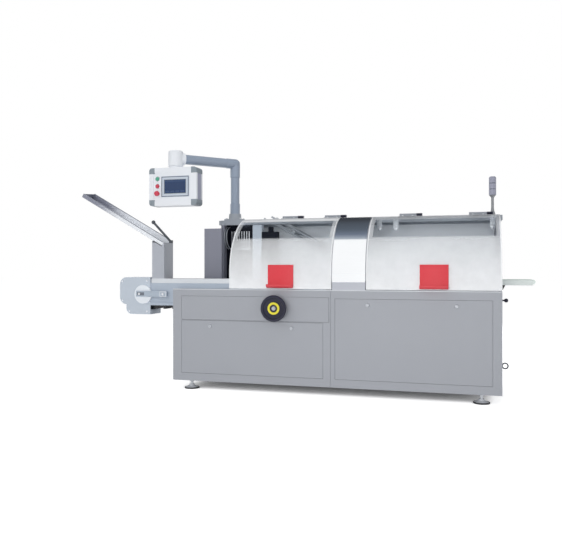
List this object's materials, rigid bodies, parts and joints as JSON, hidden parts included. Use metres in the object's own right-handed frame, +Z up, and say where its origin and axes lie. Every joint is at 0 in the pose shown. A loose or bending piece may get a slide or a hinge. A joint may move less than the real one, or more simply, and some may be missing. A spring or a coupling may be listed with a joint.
{
  "type": "automatic cartoner",
  "caption": "Horizontal cartoning machine: closed grey cabinet, hood with lifting clear guards, bucket infeed with hopper and trough, swinging operator panel, signal tower and outlet belt.",
  "frame": {"origin": "middle of the machine's overall box, on the floor under its feet", "axes": "+X along the line from infeed to outlet, +Y from the operator's side to the rear, +Z up"},
  "size_m": [3.7034, 0.989, 1.962],
  "materials": {
    "grey_paint": "semi-gloss grey paint",
    "arm_paint": "smooth blue-grey paint",
    "stainless": "brushed stainless steel",
    "bright_fittings": "bright plated",
    "pale_metal": "pale blue-grey satin",
    "clear_sheet": "clear polished acrylic",
    "red_plastic": "moulded red plastic",
    "green_plastic": "moulded green plastic",
    "black_plastic": "black plastic",
    "yellow_ring": "yellow plastic",
    "dark_metal": "dark satin",
    "white_plastic": "white engineering plastic",
    "white_casting": "white powder coat",
    "corner_plastic": "grey moulded plastic",
    "bezel_plastic": "light blue-grey plastic",
    "screen_glass": "dark blue display",
    "tower_plastic": "grey-lavender lenses",
    "belt_rubber": "pale green belt"
  },
  "bodies": {
    "machine": {"cabinet_body": "grey_paint", "table_top": "stainless", "upper_front_panel": "grey_paint", "lower_front_panel": "grey_paint", "right_front_panel": "grey_paint", "rear_panels": "grey_paint", "panel_latches": "bright_fittings", "levelling_feet": "bright_fittings", "wheel_bearing": "stainless", "end_knob": "black_plastic", "end_ring": "stainless", "hood_roof": "grey_paint", "hood_rear_wall": "grey_paint", "hood_beams": "grey_paint", "hood_left_post": "grey_paint", "hood_right_end": "grey_paint", "centre_cover": "stainless", "centre_base": "grey_paint", "hinge_blocks": "black_plastic", "stay_brackets": "stainless", "folder_housing": "grey_paint", "leaflet_folder": "dark_metal", "folder_fingers": "stainless", "magazine_post": "pale_metal", "carton_magazine": "stainless", "carton_feeder": "dark_metal", "carton_lane": "stainless", "conveyor_plates": "pale_metal", "chain_wheels": "white_plastic", "bucket_chain": "black_plastic", "bucket_lugs": "black_plastic", "conveyor_guides": "stainless", "conveyor_end_cover": "pale_metal", "idler_disc": "white_plastic", "take_up_bar": "stainless", "hopper": "pale_metal", "infeed_trough": "stainless", "trough_lever": "black_plastic", "arm_base": "grey_paint", "signal_tower": "tower_plastic", "outlet_conveyor": "pale_metal", "outlet_belt": "belt_rubber"},
    "left_guard_door": {"left_guard": "clear_sheet", "left_guard_hinges": "grey_paint", "left_guard_handle": "red_plastic"},
    "right_guard_door": {"right_guard": "clear_sheet", "right_guard_hinges": "grey_paint", "right_guard_handle": "red_plastic"},
    "handwheel_turn": {"handwheel": "black_plastic", "handwheel_ring": "yellow_ring", "handwheel_hub": "bright_fittings"},
    "panel_arm": {"arm": "arm_paint", "arm_coupling": "white_casting"},
    "operator_panel": {"panel_box": "white_casting", "panel_corners": "corner_plastic", "panel_bezel": "bezel_plastic", "panel_screen": "screen_glass", "panel_start_button": "green_plastic", "panel_stop_button": "red_plastic", "panel_emergency_stop": "red_plastic"}
  },
  "joints": [
    {"name": "left_guard_hinge", "type": "hinge", "parent": "machine", "child": "left_guard_door", "pos_m": [-0.04628, 0.0975, 1.411], "axis": [-1, 0, 0], "range_deg": [0, 75]},
    {"name": "right_guard_hinge", "type": "hinge", "parent": "machine", "child": "right_guard_door", "pos_m": [1.11072, 0.0975, 1.411], "axis": [-1, 0, 0], "range_deg": [0, 75]},
    {"name": "handwheel_spin", "type": "hinge", "parent": "machine", "child": "handwheel_turn", "pos_m": [-0.07428, -0.4445, 0.666], "axis": [0, -1, 0], "continuous": true},
    {"name": "arm_swivel", "type": "hinge", "parent": "machine", "child": "panel_arm", "pos_m": [-0.61928, 0.1705, 1.44], "axis": [0, 0, -1], "range_deg": [-30, 100]},
    {"name": "panel_swivel", "type": "hinge", "parent": "panel_arm", "child": "operator_panel", "pos_m": [-1.0012, -0.23906, 1.82], "axis": [0, 0, 1], "range_deg": [-90, 90]}
  ]
}
